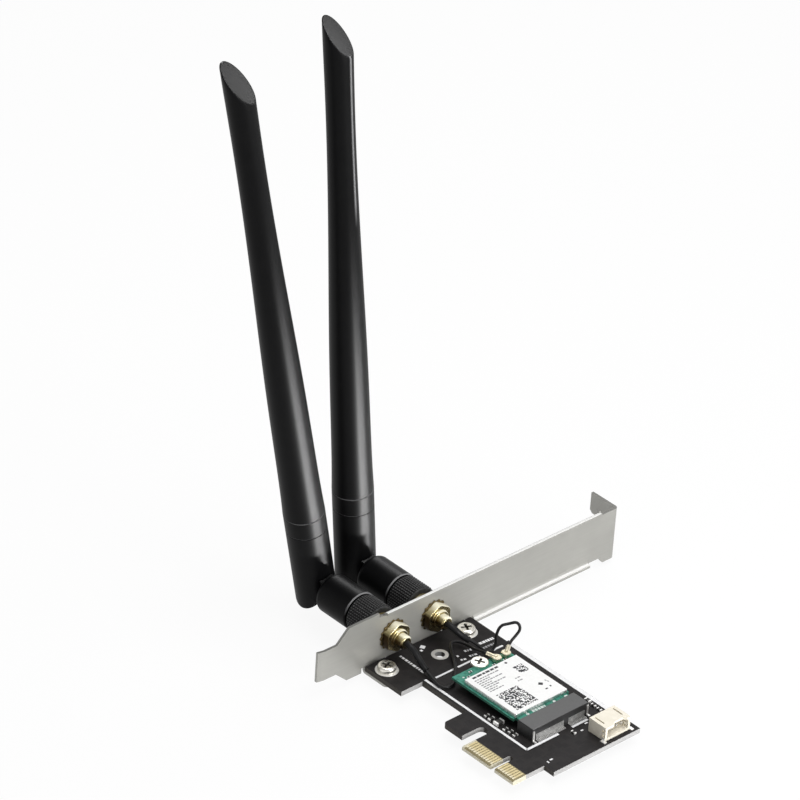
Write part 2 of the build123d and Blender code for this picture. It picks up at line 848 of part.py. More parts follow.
def hinge_pin():
    """Cross pin of the hinge."""
    return rod_y(hinge_x, 0, hinge_pin_width / 2, -hinge_pin_length / 2, hinge_pin_length / 2)


def paddle_base():
    """Forked lower end of the whip, with the spigot for the sleeve."""
    radius = base_width / 2
    body = Pos(0, 0, base_length / 2) * Cylinder(radius, base_length)
    knuckle = Pos(0, 0, -radius / 2) * Cylinder(radius, radius)
    body += knuckle & rod_y(0, 0, radius, -radius, radius)
    body += post(0, 0, spigot_width, base_length, base_length + spigot_length)
    half = hinge_thickness / 2 + cheek_play
    reach = hinge_radius + ceiling_play
    slot = rod_y(0, 0, reach, -half, half)
    slot += block(0, 2 * radius, -half, half, -2 * radius, reach)
    slot += block(-reach, 2 * radius, -half, half, -2 * radius, 0)
    return Pos(hinge_x, 0, 0) * (body - slot) - hinge_pin()


def paddle_sleeve():
    """Tapered hollow whip with a ring groove and a slanted tip."""
    foot = base_length
    groove = foot + groove_height
    outside = base_width / 2
    waist = ((whip_low_width / 2, whip_low_height), (whip_mid_width / 2, whip_mid_height),
             (whip_high_width / 2, whip_high_height), (whip_thin_width / 2, whip_thin_height))
    hollow = [(radius - whip_wall, height) for radius, height in reversed(waist)]
    outline = Polyline(
        (spigot_width / 2, foot), (outside, foot), (outside, groove - groove_width / 2),
        (outside - groove_depth, groove), (outside, groove + groove_width / 2), *waist,
        (whip_tip_width / 2, whip_top), (0, whip_top), (0, whip_hollow),
        (whip_thin_width / 2 - whip_wall, whip_hollow), *hollow, (spigot_width / 2, radiator_low),
        close=True)
    whip = revolve(make_face(Plane.XZ * outline), Axis.Z)
    away = radians(tip_direction)
    slant = Vector(-tip_slope * cos(away), -tip_slope * sin(away), 1)
    whip = split(whip, bisect_by=Plane(origin=(0, 0, tip_height), z_dir=slant), keep=Keep.BOTTOM)
    tip = whip.faces().filter_by(GeomType.PLANE).sort_by(Axis.Z)[-1]
    return Pos(hinge_x, 0, 0) * fillet(tip.edges(), tip_round)


def radiator():
    """Radiating rod inside the whip, standing on the spigot."""
    return post(hinge_x, 0, radiator_width, radiator_low, radiator_low + radiator_length)


os.makedirs("parts", exist_ok=True)
card = (bracket, main_board, mounting_pads, edge_contacts, bracket_screws, module_standoff, module_screw,
        module_board, module_shield, module_label, module_chips, module_receptacles, socket_housing,
        socket_contacts, socket_anchors, header_housing, header_pins, header_feet, board_chips)
for make in card:
    export_step(make(), f"parts/{make.__name__}.step")
jack = (jack_body, jack_washer, jack_nut, jack_insulator, jack_pin, ferrule)
antenna = (antenna_collar, collar_insert, elbow, antenna_contact, hinge_pin, paddle_base, paddle_sleeve,
           radiator)
jack_shapes = {make.__name__: make() for make in jack}
antenna_shapes = {make.__name__: make() for make in antenna}
for side, row in jack_rows.items():
    place = Pos(0, row, jack_height)
    for name, shape in jack_shapes.items():
        export_step(place * shape, f"parts/{name}_{side}.step")
    for name, shape in antenna_shapes.items():
        export_step(place * Rot(lean[side], 0, 0) * shape, f"parts/{name}_{side}.step")
    for make in (pigtail_sleeve, pigtail, pigtail_plug):
        export_step(make(side), f"parts/{make.__name__}_{side}.step")
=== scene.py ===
"""Wireless network card with two whip antennas: finishes, fine detail, stage and camera.

Places below are in millimetres in the row frame and become metres when a mesh is laid.
"""
from math import radians

import bmesh
import bpy
import numpy as np
from mathutils import Matrix


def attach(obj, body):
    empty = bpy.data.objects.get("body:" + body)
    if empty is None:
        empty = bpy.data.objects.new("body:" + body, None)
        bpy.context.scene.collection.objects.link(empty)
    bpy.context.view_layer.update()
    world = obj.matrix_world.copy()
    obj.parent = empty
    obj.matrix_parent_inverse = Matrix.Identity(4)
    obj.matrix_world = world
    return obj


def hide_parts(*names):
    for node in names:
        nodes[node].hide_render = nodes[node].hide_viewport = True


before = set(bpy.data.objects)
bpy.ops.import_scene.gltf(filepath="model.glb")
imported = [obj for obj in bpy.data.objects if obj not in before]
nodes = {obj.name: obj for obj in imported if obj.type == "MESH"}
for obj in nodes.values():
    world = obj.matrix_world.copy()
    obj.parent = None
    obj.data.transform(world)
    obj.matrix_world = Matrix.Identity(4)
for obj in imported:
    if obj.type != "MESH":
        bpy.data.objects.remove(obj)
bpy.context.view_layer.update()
sides = ("left", "right")

# Places repeated from the part's source
jack_row = {"left": 14.33, "right": 30.43}
jack_height = 8.0
lean = {"left": 12.2, "right": 5.9}
hinge_x = -93.11
elbow_edge = -73.25
board_top = 0.8
module_top = 4.1
label_top = 5.4
recess_floor = {"pan_head_screws": 1.8, "low_head_screw": 4.55}

# Whip tips: height and slope of the slanted cut, and the turn of a painted highlight line
tip_cut = {"left": (183.1, 1.48), "right": (183.05, 1.38)}
highlight_line_turn = {"left": radians(200.0), "right": radians(12.0)}


# ---------------------------------------------------------------- camera

def make_camera():
    """Long lens at the photograph's place, turned by its right, up and back directions."""
    camera = bpy.data.objects.new("camera", bpy.data.cameras.new("camera"))
    bpy.context.collection.objects.link(camera)
    camera.data.lens = 208.40
    camera.data.sensor_width = 36.0
    camera.data.clip_start = 0.01
    camera.data.clip_end = 50.0
    right = (0.66934, 0.74084, 0.05601)
    up = (-0.42538, 0.32034, 0.84643)
    back = (0.60913, -0.59037, 0.52955)
    turn = Matrix((right, up, back)).transposed().to_4x4()
    camera.matrix_world = Matrix.Translation((0.73487, -0.75797, 0.77944)) @ turn
    bpy.context.scene.camera = camera


make_camera()


# ---------------------------------------------------------------- finishes

def node(tree, kind, **inputs):
    """Adds a shader node and fills its inputs: a socket is joined, a plain value is set."""
    made = tree.nodes.new("ShaderNode" + kind)
    for name, value in inputs.items():
        key = int(name[1:]) if name[0] == "i" and name[1:].isdigit() else name.replace("_", " ")
        if isinstance(value, bpy.types.NodeSocket):
            tree.links.new(value, made.inputs[key])
        else:
            made.inputs[key].default_value = value
    return made


def blank(name):
    """Empty material: its tree, its main shader and the object coordinates."""
    material = bpy.data.materials.new(name)
    material.use_nodes = True
    tree = material.node_tree
    shader = tree.nodes["Principled BSDF"]
    place = tree.nodes.new("ShaderNodeTexCoord").outputs["Object"]
    return material, tree, shader, place


def grain(tree, place, size, stretch=(1.0, 1.0, 1.0), detail=3.0):
    """Cloudy pattern of about the given size in millimetres, drawn out by the stretch."""
    mapped = node(tree, "Mapping", Vector=place)
    mapped.inputs["Scale"].default_value = tuple(1.0 / s for s in stretch)
    made = node(tree, "TexNoise", Vector=mapped.outputs[0], Scale=1000.0 / size, Detail=detail)
    return made.outputs["Fac"]


def between(tree, factor, low, high):
    """Number that runs from low to high as the factor runs over a noise's usual middle."""
    made = node(tree, "MapRange", Value=factor)
    for name, value in (("From Min", 0.3), ("From Max", 0.7), ("To Min", low), ("To Max", high)):
        made.inputs[name].default_value = value
    return made.outputs[0]


def tinted(tree, factor, first, second):
    """Colour between two, by a factor from 0 to 1."""
    made = tree.nodes.new("ShaderNodeMix")
    made.data_type = "RGBA"
    tree.links.new(factor, made.inputs[0])
    for socket, value in ((made.inputs[6], first), (made.inputs[7], second)):
        if isinstance(value, bpy.types.NodeSocket):
            tree.links.new(value, socket)
        else:
            socket.default_value = (*value, 1.0)
    return made.outputs[2]


def step(tree, value, low, high):
    """Soft step from 0 below low to 1 above high."""
    made = node(tree, "MapRange", Value=value)
    made.interpolation_type = "SMOOTHSTEP"
    made.inputs["From Min"].default_value = low
    made.inputs["From Max"].default_value = high
    return made.outputs[0]


def times(tree, first, second, kind="MULTIPLY"):
    """Product of two factors, or the result of another named operation on them."""
    made = tree.nodes.new("ShaderNodeMath")
    made.operation = kind
    for socket, value in zip(made.inputs, (first, second)):
        if isinstance(value, bpy.types.NodeSocket):
            tree.links.new(value, socket)
        else:
            socket.default_value = value
    return made.outputs[0]


def facing(tree):
    """Parts of the surface's outward direction along X, Y and Z."""
    outward = tree.nodes.new("ShaderNodeNewGeometry").outputs["Normal"]
    return node(tree, "SeparateXYZ", Vector=outward).outputs


def marked(tree, name):
    """Number that a mesh carries under a name, 0 where it carries none."""
    mark = tree.nodes.new("ShaderNodeAttribute")
    mark.attribute_name = name
    return mark.outputs["Fac"]


def roughen(tree, shader, height, strength, depth):
    """Gives a shader a relief of the given depth in metres."""
    bump = node(tree, "Bump", Height=height, Strength=strength, Distance=depth)
    tree.links.new(bump.outputs[0], shader.inputs["Normal"])


def seen_rays(tree):
    """1 where a ray is seen by the camera or in a reflection, 0 where it only brings light."""
    path = tree.nodes.new("ShaderNodeLightPath")
    seen = times(tree, path.outputs["Is Camera Ray"], path.outputs["Is Glossy Ray"], "MAXIMUM")
    return times(tree, seen, path.outputs["Is Transmission Ray"], "MAXIMUM")


def finish(name, colours, size, rough, metal=0.0, gloss=0.5, stretch=(1, 1, 1), relief=0.0,
           relief_size=None):
    """Finish whose colour and roughness wander between two values, with a fine relief."""
    material, tree, shader, place = blank(name)
    cloud = grain(tree, place, size, stretch)
    tree.links.new(tinted(tree, between(tree, cloud, 0.0, 1.0), *colours), shader.inputs["Base Color"])
    fine = grain(tree, place, relief_size or size / 4, stretch, 2.0)
    tree.links.new(between(tree, fine, *rough), shader.inputs["Roughness"])
    shader.inputs["Metallic"].default_value = metal
    shader.inputs["Specular IOR Level"].default_value = gloss
    if relief:
        roughen(tree, shader, fine, 0.6, relief / 1000)
    return material


def board_finish():
    """Black solder mask with faint copper runs under it. The cut edges are laminate painted by
    direction: pale where they face +X, as painted light, and dark on the others, as painted
    shade; in the contact zone the mask stops short of the gold, over olive laminate with a
    cream margin and a cream chamfer."""
    material, tree, shader, place = blank("black solder mask")
    apart = node(tree, "SeparateXYZ", Vector=place)
    normal = facing(tree)
    flat = step(tree, times(tree, normal[2], 0.0, "ABSOLUTE"), 0.6, 0.8)
    lit_side = step(tree, normal[0], 0.3, 0.7)
    cloud = grain(tree, place, 6.0)
    mask = tinted(tree, between(tree, cloud, 0, 1), (0.0170, 0.0157, 0.0160), (0.0238, 0.0219, 0.0223))
    runs = node(tree, "TexVoronoi", Vector=place, Scale=420.0)
    runs.distance = "CHEBYCHEV"
    copper = step(tree, runs.outputs["Distance"], 0.40, 0.44)
    mask = tinted(tree, times(tree, copper, 0.3), mask, (0.032, 0.029, 0.028))
    layers = grain(tree, place, 0.35, (30.0, 30.0, 1.0))
    # Painted light on the cut edges: pale where they face +X, painted shade (dark) on the others.
    pale = tinted(tree, between(tree, layers, 0, 1), (0.37, 0.365, 0.36), (0.48, 0.475, 0.47))
    dark = tinted(tree, between(tree, layers, 0, 1), (0.040, 0.036, 0.033), (0.075, 0.068, 0.060))
    cream = tinted(tree, between(tree, layers, 0, 1), (0.62, 0.58, 0.45), (0.70, 0.66, 0.53))
    olive = tinted(tree, between(tree, cloud, 0, 1), (0.24, 0.20, 0.11), (0.30, 0.26, 0.15))
    zone = step(tree, times(tree, apart.outputs[1], -1.0), -0.0052, -0.0050)
    zone = times(tree, zone, step(tree, apart.outputs[0], -0.0126, -0.0125))
    margin = step(tree, times(tree, apart.outputs[0], -1.0), 0.0116, 0.0118)
    top = tinted(tree, zone, mask, tinted(tree, margin, olive, cream))
    edge = tinted(tree, zone, tinted(tree, lit_side, dark, pale), cream)
    tree.links.new(tinted(tree, flat, edge, top), shader.inputs["Base Color"])
    fine = grain(tree, place, 0.25)
    tree.links.new(between(tree, fine, 0.36, 0.50), shader.inputs["Roughness"])
    shader.inputs["Specular IOR Level"].default_value = 0.09
    height = times(tree, times(tree, copper, 0.6), times(tree, fine, 0.25), "ADD")
    roughen(tree, shader, height, 0.5, 0.00003)
    return material


def module_finish():
    """Green solder mask with paler copper runs and darker cut edges."""
    material, tree, shader, place = blank("green solder mask")
    normal = facing(tree)
    flat = step(tree, times(tree, normal[2], 0.0, "ABSOLUTE"), 0.6, 0.8)
    runs = node(tree, "TexVoronoi", Vector=place, Scale=900.0)
    runs.distance = "CHEBYCHEV"
    copper = step(tree, runs.outputs["Distance"], 0.36, 0.42)
    cloud = grain(tree, place, 2.0)
    deep = tinted(tree, between(tree, cloud, 0, 1), (0.034, 0.175, 0.125), (0.050, 0.235, 0.170))
    mask = tinted(tree, times(tree, copper, 0.5), deep, (0.085, 0.36, 0.27))
    edge = tinted(tree, cloud, (0.030, 0.12, 0.085), (0.050, 0.17, 0.12))
    tree.links.new(tinted(tree, flat, edge, mask), shader.inputs["Base Color"])
    fine = grain(tree, place, 0.2)
    tree.links.new(between(tree, fine, 0.34, 0.46), shader.inputs["Roughness"])
    shader.inputs["Specular IOR Level"].default_value = 0.15
    roughen(tree, shader, copper, 0.4, 0.00003)
    return material


def contact_finish():
    """Hard gold with whiter wear at the leading tips and fine lengthwise scratches."""
    material, tree, shader, place = blank("hard gold")
    apart = node(tree, "SeparateXYZ", Vector=place)
    worn = step(tree, times(tree, apart.outputs[1], -1.0), -0.0024, -0.0008)
    lines = grain(tree, place, 0.12, (1.0, 30.0, 1.0))
    gold = tinted(tree, between(tree, lines, 0, 1), (0.40, 0.33, 0.175), (0.48, 0.41, 0.24))
    tone = tinted(tree, times(tree, worn, 0.6), gold, (0.58, 0.55, 0.45))
    tree.links.new(tone, shader.inputs["Base Color"])
    tree.links.new(between(tree, lines, 0.22, 0.32), shader.inputs["Roughness"])
    shader.inputs["Metallic"].default_value = 1.0
    return material


def plastic_finish(name, edge=None):
    """Satin black plastic with a faint cloud and a fine tooth; painted highlights make pale the
    lines that a mesh marks and, beyond a place along X, the faces turned partly up."""
    material, tree, shader, place = blank(name)
    pale = marked(tree, "seam")
    if edge:
        along = node(tree, "SeparateXYZ", Vector=place).outputs[0]
        normal = facing(tree)
        blur = 0.05
        pale = times(tree, step(tree, along, (edge - blur) / 1000, (edge + blur) / 1000),
                     step(tree, normal[2], 0.05, 0.6))
    cloud = between(tree, grain(tree, place, 5.0), 0.0, 1.0)
    plain = tinted(tree, cloud, (0.0030, 0.0030, 0.0033), (0.0042, 0.0042, 0.0045))
    # Painted highlight: a pale grey on the marked lines and on the elbow's front edge.
    tree.links.new(tinted(tree, pale, plain, (0.24, 0.24, 0.245)), shader.inputs["Base Color"])
    fine = grain(tree, place, 0.22, detail=2.0)
    tree.links.new(between(tree, fine, 0.39, 0.45), shader.inputs["Roughness"])
    shader.inputs["Specular IOR Level"].default_value = 0.07
    roughen(tree, shader, fine, 0.6, 0.000005)
    return material


def rib_finish():
    """Black plastic with ribs: their tops, which the mesh marks, carry a painted highlight, paler,
    and are smoother.
    """
    material, tree, shader, place = blank("ribbed black plastic")
    rib_highlight = times(tree, marked(tree, "rib"), between(tree, grain(tree, place, 0.8), 0.35, 1.0))
    tone = tinted(tree, rib_highlight, (0.0025, 0.0025, 0.0027), (0.13, 0.13, 0.132))
    tree.links.new(tone, shader.inputs["Base Color"])
    tree.links.new(times(tree, times(tree, rib_highlight, -0.2), 0.5, "ADD"), shader.inputs["Roughness"])
    shader.inputs["Specular IOR Level"].default_value = 0.16
    return material


def screw_finish():
    """Nickel plated steel with a cloudy plating; the recess, which a mesh marks, is painted dark
    as painted shade.
    """
    material, tree, shader, place = blank("nickel plated steel")
    cloud = between(tree, grain(tree, place, 1.0), 0, 1)
    plate = tinted(tree, cloud, (0.80, 0.77, 0.70), (0.90, 0.88, 0.82))
    # Painted shade: the marked recess is a near black.
    tone = tinted(tree, marked(tree, "recess"), plate, (0.06, 0.056, 0.05))
    tree.links.new(tone, shader.inputs["Base Color"])
    fine = grain(tree, place, 0.15, detail=2.0)
    tree.links.new(between(tree, fine, 0.22, 0.36), shader.inputs["Roughness"])
    shader.inputs["Metallic"].default_value = 1.0
    roughen(tree, shader, fine, 0.6, 0.000008)
    return material


def brass_finish():
    """Gold plated brass with a cloudy plating and painted light by direction: a painted highlight
    makes the upper flats pale cream, and painted shade darkens the faces below and those towards
    the contacts."""
    material, tree, shader, place = blank("plated brass")
    normal = facing(tree)
    # Painted light: up and +Y facing flats are painted pale and less metallic, the others dark.
    upward = times(tree, times(tree, normal[2], 0.75), times(tree, normal[1], 0.65), "ADD")
    cloud = between(tree, grain(tree, place, 0.8), 0, 1)
    plate = tinted(tree, cloud, (0.58, 0.49, 0.25), (0.70, 0.61, 0.35))
    brown = tinted(tree, step(tree, upward, -0.45, 0.3), (0.05, 0.031, 0.012), plate)
    pale = step(tree, upward, 0.1, 0.6)
    tree.links.new(tinted(tree, pale, brown, (0.97, 0.93, 0.74)), shader.inputs["Base Color"])
    tree.links.new(times(tree, times(tree, pale, -0.7), 1.0, "ADD"), shader.inputs["Metallic"])
    fine = grain(tree, place, 0.2, detail=2.0)
    tree.links.new(between(tree, fine, 0.14, 0.26), shader.inputs["Roughness"])
    roughen(tree, shader, fine, 0.6, 0.000006)
    return material


def bracket_finish():
    """Zinc-plated sheet steel: long rolling lines, a cloudy plating and a fine tooth, with a painted
    highlight on the upper faces of the flanges and painted shade on the upward cut edges of the
    sheet and its tab."""
    material, tree, shader, place = blank("zinc plated steel")
    rolled = grain(tree, place, 0.5, (1.0, 24.0, 1.0), 4.0)
    cloud = grain(tree, place, 14.0)
    pale = tinted(tree, between(tree, cloud, 0, 1), (0.345, 0.341, 0.319), (0.385, 0.381, 0.356))
    tone = tinted(tree, times(tree, between(tree, rolled, 0, 1), 0.16), pale, (0.305, 0.302, 0.281))
    normal = facing(tree)
    # Painted shade darkens up-facing faces outside the flanges; a painted highlight whitens the flanges.
    level = step(tree, normal[2], 0.5, 0.9)
    inside = step(tree, node(tree, "SeparateXYZ", Vector=place).outputs[0], -0.0587, -0.0585)
    lit_flange = times(tree, level, inside)
    tone = tinted(tree, times(tree, level, 0.7), tone, (0.12, 0.118, 0.11))
    tone = tinted(tree, times(tree, lit_flange, 0.9), tone, (0.95, 0.95, 0.93))
    tree.links.new(tone, shader.inputs["Base Color"])
    tree.links.new(between(tree, rolled, 0.40, 0.50), shader.inputs["Roughness"])
    tree.links.new(times(tree, times(tree, lit_flange, -0.38), 0.45, "ADD"), shader.inputs["Metallic"])
    fine = grain(tree, place, 0.15)
    roughen(tree, shader, fine, 0.35, 0.00001)
    return material


black_plastic = plastic_finish("satin black plastic")
# The elbow's front edge beyond elbow_edge carries a painted highlight.
elbow_plastic = plastic_finish("satin black elbow plastic", elbow_edge)
knurl_plastic = rib_finish()
steel = bracket_finish()
mask_black = board_finish()
mask_green = module_finish()
gold = contact_finish()
tin = finish("bright tin", ((0.80, 0.79, 0.77), (0.90, 0.89, 0.87)), 0.6, (0.28, 0.44), metal=0.6,
             relief=0.02, relief_size=0.3)
screw_steel = screw_finish()
shield_tin = finish("tinned can", ((0.58, 0.60, 0.59), (0.68, 0.69, 0.68)), 3.0, (0.24, 0.36), metal=0.9)
paper = finish("label paper", ((0.86, 0.86, 0.85), (0.90, 0.90, 0.895)), 0.8, (0.45, 0.6), gloss=0.3,
               relief=0.006, relief_size=0.12)
ink = finish("label ink", ((0.035, 0.035, 0.04), (0.07, 0.07, 0.075)), 0.25, (0.5, 0.65), gloss=0.2)
faint_ink = finish("thin label ink", ((0.20, 0.20, 0.21), (0.30, 0.30, 0.31)), 0.25, (0.5, 0.65), gloss=0.2)
silk = finish("white legend ink", ((0.80, 0.80, 0.81), (0.88, 0.88, 0.89)), 0.5, (0.5, 0.65), gloss=0.2,
              relief=0.01, relief_size=0.2)
thin_silk = finish("thin legend ink", ((0.30, 0.30, 0.31), (0.40, 0.40, 0.41)), 0.5, (0.5, 0.65), gloss=0.2)
green_silk = finish("pale legend ink", ((0.66, 0.74, 0.70), (0.76, 0.82, 0.79)), 0.4, (0.5, 0.6), gloss=0.2)
epoxy = finish("moulded epoxy", ((0.020, 0.019, 0.018), (0.034, 0.032, 0.030)), 0.4, (0.45, 0.6),
               relief=0.012, relief_size=0.12)
socket_plastic = finish("dark socket plastic", ((0.012, 0.012, 0.0125), (0.018, 0.018, 0.0185)), 1.2,
                        (0.32, 0.44), gloss=1.0, relief=0.01, relief_size=0.2)
lead = finish("tinned lead", ((0.46, 0.46, 0.455), (0.86, 0.85, 0.83)), 0.35, (0.30, 0.44), metal=0.6)
plug_gold = finish("pale plated plug", ((0.72, 0.65, 0.48), (0.84, 0.78, 0.62)), 0.6, (0.20, 0.34),
                   metal=1.0)
ivory = finish("ivory nylon", ((0.80, 0.75, 0.63), (0.85, 0.80, 0.69)), 2.0, (0.42, 0.55), gloss=0.4,
               relief=0.01, relief_size=0.25)
jack_gold = brass_finish()
# Painted shade: the lock washer between the nut and the bracket is a dark brown.
washer_shade_brass = finish("dull washer brass", ((0.12, 0.09, 0.042), (0.18, 0.14, 0.07)), 0.5, (0.30, 0.42),
                      metal=1.0, relief=0.006, relief_size=0.2)
insulator = finish("white insulator", ((0.78, 0.78, 0.76), (0.84, 0.84, 0.82)), 1.0, (0.35, 0.5))
cable_black = finish("black cable jacket", ((0.006, 0.006, 0.0063), (0.010, 0.010, 0.0105)), 0.6,
                     (0.30, 0.42), gloss=0.25, relief=0.01, relief_size=0.2)
sleeve_black = finish("shrunk sleeve", ((0.004, 0.004, 0.0043), (0.007, 0.007, 0.0075)), 0.7,
                      (0.36, 0.50), gloss=0.22, relief=0.02, relief_size=0.5)
radiator_metal = finish("radiator strip", ((0.55, 0.38, 0.20), (0.66, 0.48, 0.28)), 1.0, (0.3, 0.45),
                        metal=1.0)

for_nodes = {
    "bracket": steel, "main_board": mask_black, "mounting_pads": tin, "edge_contacts": gold,
    "bracket_screws": screw_steel, "module_standoff": screw_steel, "module_screw": screw_steel,
    "module_board": mask_green, "module_shield": shield_tin, "module_label": paper, "module_chips": epoxy,
    "module_receptacles": jack_gold, "socket_housing": socket_plastic, "socket_contacts": lead,
    "socket_anchors": tin, "header_housing": ivory, "header_pins": lead, "header_feet": tin,
    "board_chips": epoxy, "jack_body": jack_gold, "jack_washer": washer_shade_brass, "jack_nut": jack_gold,
    "jack_insulator": insulator, "jack_pin": gold, "ferrule": jack_gold, "pigtail_sleeve": sleeve_black,
    "pigtail": cable_black, "pigtail_plug": plug_gold, "antenna_collar": knurl_plastic,
    "collar_insert": jack_gold, "elbow": elbow_plastic, "antenna_contact": gold, "hinge_pin": black_plastic,
    "paddle_base": black_plastic, "paddle_sleeve": black_plastic, "radiator": radiator_metal,
}


def node_finish(name):
    """Finish of a CAD node, whichever side it is on."""
    for side in sides:
        name = name.removesuffix("_" + side)
    return for_nodes[name]


for name, thing in nodes.items():
    thing.data.materials.clear()
    thing.data.materials.append(node_finish(name))


# ---------------------------------------------------------------- laying meshes

def lay(name, points, faces, smooth=True, sharp=None):
    """Mesh object from an array of points in millimetres and an array or a list of faces."""
    mesh = bpy.data.meshes.new(name)
    points = np.asarray(points, float).reshape(-1, 3) / 1000
    mesh.from_pydata(points.tolist(), [], faces if isinstance(faces, list) else faces.tolist())
    mesh.validate()
    mesh.polygons.foreach_set("use_smooth", np.full(len(mesh.polygons), smooth))
    if sharp:
        mesh.set_sharp_from_angle(angle=radians(sharp))
    thing = bpy.data.objects.new(name, mesh)
    bpy.context.collection.objects.link(thing)
    return thing


def mark_points(thing, name, values):
    """Stores a number at each point of a mesh for its finish to read."""
    mark = thing.data.attributes.new(name, "FLOAT", "POINT")
    mark.data.foreach_set("value", np.asarray(values).reshape(-1).astype(np.float32))
    return thing


def dress(thing, body, slot, material, *stands_for):
    """Gives a new piece its finish and its body and hides the CAD nodes that it stands for; the
    slot is not used.
    """
    thing.data.materials.append(material)
    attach(thing, body)
    if stands_for:
        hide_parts(*stands_for)
    return thing


def grid_faces(rows, columns, around=True):
    """Quads of a grid of points, row after row; around joins the last column to the first."""
    across = columns if around else columns - 1
    row, column = np.meshgrid(np.arange(rows - 1), np.arange(across), indexing="ij")
    after = (column + 1) % columns
    quads = np.stack([row * columns + column, row * columns + after,
                      (row + 1) * columns + after, (row + 1) * columns + column], axis=-1)
    return quads.reshape(-1, 4)


def plates(name, boxes):
    """Thin closed plates: each row of the array holds a centre x and y, a length, a width, a
    turn in degrees, a low and a high level; the eight corners are the centre plus the turned
    half sizes."""
    boxes = np.asarray(boxes, float)
    turn = np.radians(boxes[:, 4])
    sign = np.array([(-1, -1), (1, -1), (1, 1), (-1, 1)])
    along = sign[:, 0] * boxes[:, 2, None] / 2
    over = sign[:, 1] * boxes[:, 3, None] / 2
    x = boxes[:, 0, None] + along * np.cos(turn)[:, None] - over * np.sin(turn)[:, None]
    y = boxes[:, 1, None] + along * np.sin(turn)[:, None] + over * np.cos(turn)[:, None]
    low = np.stack([x, y, np.broadcast_to(boxes[:, 5, None], x.shape)], -1)
    high = np.stack([x, y, np.broadcast_to(boxes[:, 6, None], x.shape)], -1)
    points = np.concatenate([low, high], axis=1)
    one = np.array([(3, 2, 1, 0), (4, 5, 6, 7), (0, 1, 5, 4), (1, 2, 6, 5), (2, 3, 7, 6), (3, 0, 4, 7)])
    faces = (one[None] + 8 * np.arange(len(boxes))[:, None, None]).reshape(-1, 4)
    return lay(name, points, faces, smooth=False)


def shell_of(name, piece, edge):
    """Merged copy of a CAD node's mesh, smooth except at its sharp edges, which an edge width
    in millimetres rounds off."""
    sharp_from, rounded_from = radians(32.0), radians(30.0)
    mesh = nodes[name].data
    points = np.empty(3 * len(mesh.vertices))
    mesh.vertices.foreach_get("co", points)
    corners = np.empty(len(mesh.loops), int)
    mesh.loops.foreach_get("vertex_index", corners)
    spots = np.round(points.reshape(-1, 3) * 1e6).astype(int)
    kept, place = np.unique(spots, axis=0, return_inverse=True)
    faces = place.reshape(-1)[corners].reshape(-1, 3)
    real = (faces[:, 0] != faces[:, 1]) & (faces[:, 1] != faces[:, 2]) & (faces[:, 2] != faces[:, 0])
    thing = lay(piece, kept / 1e3, faces[real])
    work = bmesh.new()
    work.from_mesh(thing.data)
    bmesh.ops.dissolve_limit(work, angle_limit=radians(0.5), verts=work.verts, edges=work.edges)
    work.to_mesh(thing.data)
    work.free()
    thing.data.polygons.foreach_set("use_smooth", np.full(len(thing.data.polygons), True))
    thing.data.set_sharp_from_angle(angle=sharp_from)
    bevel = thing.modifiers.new("rounded edges", "BEVEL")
    bevel.width = edge / 1000
    bevel.segments = 2
    bevel.limit_method = "ANGLE"
    bevel.angle_limit = rounded_from
    bevel.harden_normals = False
    bevel.use_clamp_overlap = True
    return thing


# ---------------------------------------------------------------- pigtails

route = {
    "left": ((-52.5, 14.33, 8.0), (-50.2, 14.33, 8.0), (-46.6, 15.3, 3.4), (-42.6, 15.2, 1.5),
             (-36.4, 13.4, 1.5), (-34.9, 17.2, 1.5), (-38.6, 21.3, 1.6), (-43.0, 25.2, 1.9),
             (-47.6, 28.0, 2.1), (-51.2, 30.8, 2.1), (-49.9, 33.5, 2.0), (-45.3, 34.1, 2.0),
             (-42.4, 33.2, 3.2), (-39.506, 31.725, 5.2), (-37.284, 32.320, 5.2)),
    "right": ((-52.5, 30.43, 8.0), (-50.2, 30.43, 8.0), (-47.6, 32.6, 5.0), (-44.4, 34.7, 3.9),
              (-41.3, 35.9, 1.6), (-41.1, 38.4, 1.4), (-41.1, 39.7, 3.2), (-41.7, 40.1, 6.4),
              (-41.2, 41.1, 9.3), (-40.0, 43.2, 9.6), (-38.4, 45.2, 10.4), (-37.2, 45.6, 8.3),
              (-37.4, 43.7, 6.4), (-37.369, 41.669, 5.2), (-36.050, 39.785, 5.2)),
}


def tube(name, points, width):
    """Round cord on one smooth spline with the given control points."""
    curve = bpy.data.curves.new(name, "CURVE")
    curve.dimensions = "3D"
    curve.bevel_depth = width / 2000
    curve.bevel_resolution = 5
    curve.resolution_u = 10
    curve.use_fill_caps = True
    line = curve.splines.new("NURBS")
    line.points.add(len(points) - 1)
    places = np.ones((len(points), 4))
    places[:, :3] = np.asarray(points) / 1000
    line.points.foreach_set("co", places.reshape(-1))
    line.use_endpoint_u = True
    line.order_u = 3
    thing = bpy.data.objects.new(name, curve)
    bpy.context.collection.objects.link(thing)
    return thing


for side in sides:
    points = route[side]
    middle = tuple((np.asarray(points[2]) + np.asarray(points[3])) / 2)
    sleeve = dress(tube("pigtail_boot_" + side, points[:3] + (middle,), 1.98), "card", "cable_black",
                   sleeve_black, "pigtail_sleeve_" + side)
    cable = dress(tube("pigtail_cable_" + side, points, 0.9), "card", "cable_black", cable_black,
                  "pigtail_" + side)


# ---------------------------------------------------------------- antennas

def on_antenna(points, side):
    """Points drawn about the jack's axis, leaned over about it and put at their jack."""
    lean_by = radians(lean[side])
    x, y, z = np.moveaxis(np.asarray(points, float), -1, 0)
    return np.stack([x, y * np.cos(lean_by) - z * np.sin(lean_by) + jack_row[side],
                     y * np.sin(lean_by) + z * np.cos(lean_by) + jack_height], axis=-1)


